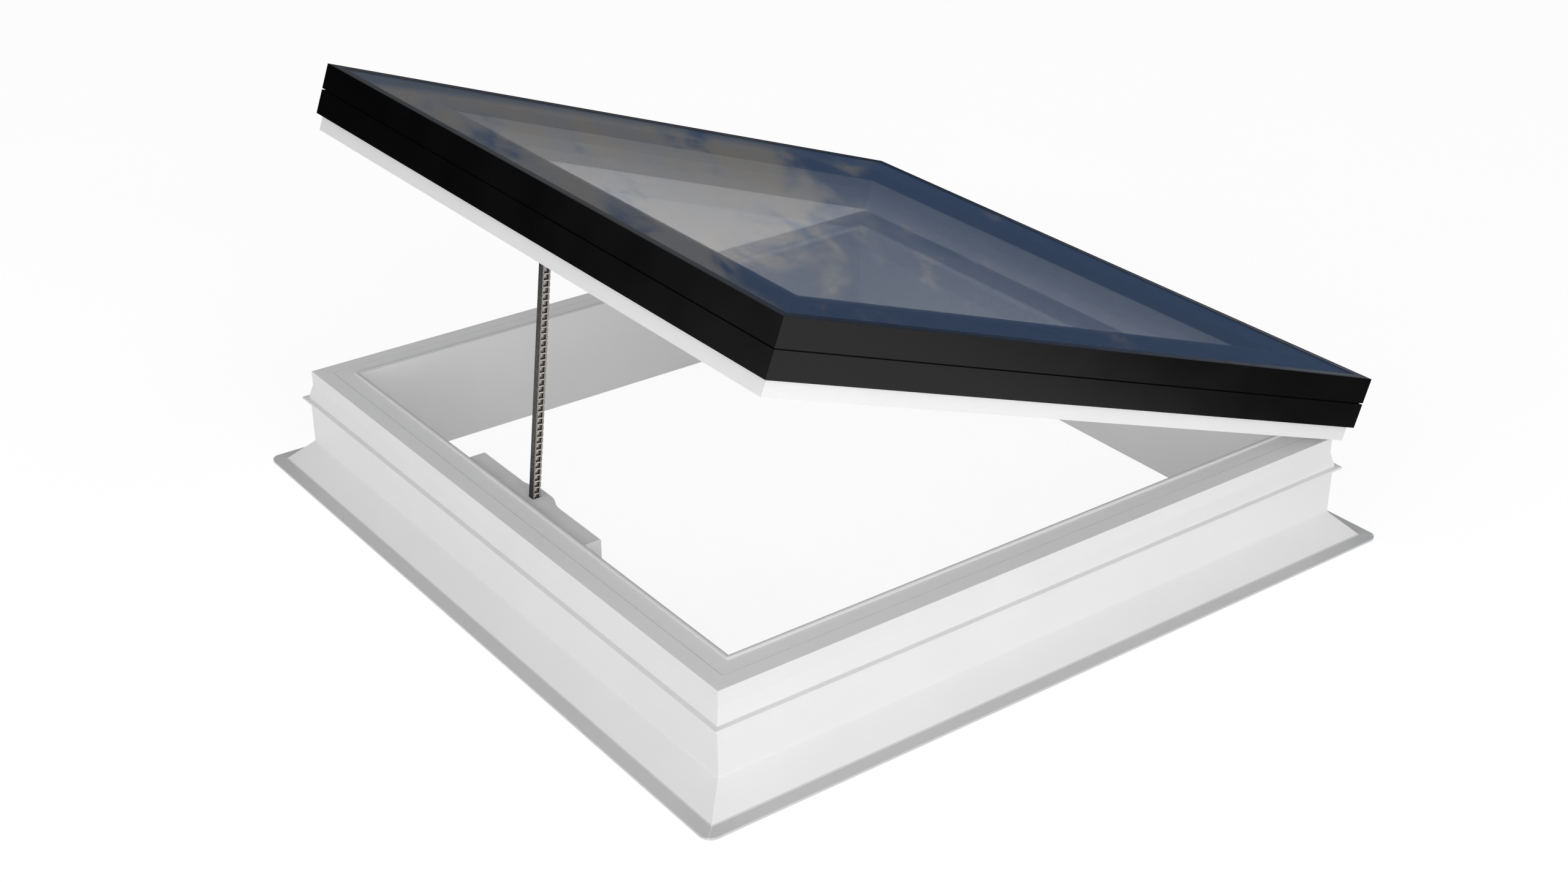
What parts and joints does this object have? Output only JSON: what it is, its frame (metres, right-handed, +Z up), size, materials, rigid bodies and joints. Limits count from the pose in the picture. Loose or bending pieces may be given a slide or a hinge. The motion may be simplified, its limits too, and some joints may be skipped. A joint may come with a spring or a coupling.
{
  "type": "opening rooflight",
  "caption": "Flat glass rooflight in a black-clad white sash, hinged at the back of a splayed white kerb and held open by a push chain drive.",
  "frame": {"origin": "middle of the kerb's flange, on its underside", "axes": "+Z up; +X towards the hinged back of the lid, the opening front is at -X; +Y to the left side"},
  "size_m": [1.11, 1.11, 0.579],
  "materials": {
    "kerb_plastic": "satin white welded uPVC",
    "sash_plastic": "satin white uPVC",
    "black_cladding": "fine black powder coat on aluminium",
    "glass": "clear float glass with a dark printed border",
    "seal_rubber": "black rubber",
    "steel": "zinc plated steel",
    "chain_steel": "dark oiled steel",
    "drive_grey": "satin light grey housing"
  },
  "bodies": {
    "kerb": {"kerb_front": "kerb_plastic", "liner_front": "kerb_plastic", "kerb_right": "kerb_plastic", "liner_right": "kerb_plastic", "kerb_back": "kerb_plastic", "liner_back": "kerb_plastic", "kerb_left": "kerb_plastic", "liner_left": "kerb_plastic", "hinge_kerb_leaf_left": "steel", "hinge_pin_left": "steel", "drive_end_cap_left": "drive_grey", "hinge_kerb_leaf_right": "steel", "hinge_pin_right": "steel", "drive_end_cap_right": "drive_grey", "drive_housing": "drive_grey", "drive_plate": "steel", "push_chain": "chain_steel"},
    "lid": {"sash_front": "sash_plastic", "cladding_front": "black_cladding", "cap_front": "black_cladding", "seal_front": "seal_rubber", "sash_right": "sash_plastic", "cladding_right": "black_cladding", "cap_right": "black_cladding", "seal_right": "seal_rubber", "sash_back": "sash_plastic", "cladding_back": "black_cladding", "cap_back": "black_cladding", "seal_back": "seal_rubber", "sash_left": "sash_plastic", "cladding_left": "black_cladding", "cap_left": "black_cladding", "seal_left": "seal_rubber", "inner_pane": "glass", "edge_seal": "seal_rubber", "outer_pane": "glass", "hinge_lid_leaf_left": "steel", "hinge_lid_leaf_right": "steel", "chain_bracket": "steel", "chain_pin": "steel"}
  },
  "joints": [
    {"name": "lid_hinge", "type": "hinge", "parent": "kerb", "child": "lid", "pos_m": [0.505, 0, 0.142], "axis": [0, 1, 0], "range_deg": [-20, 0], "deforming": ["push_chain"]}
  ]
}
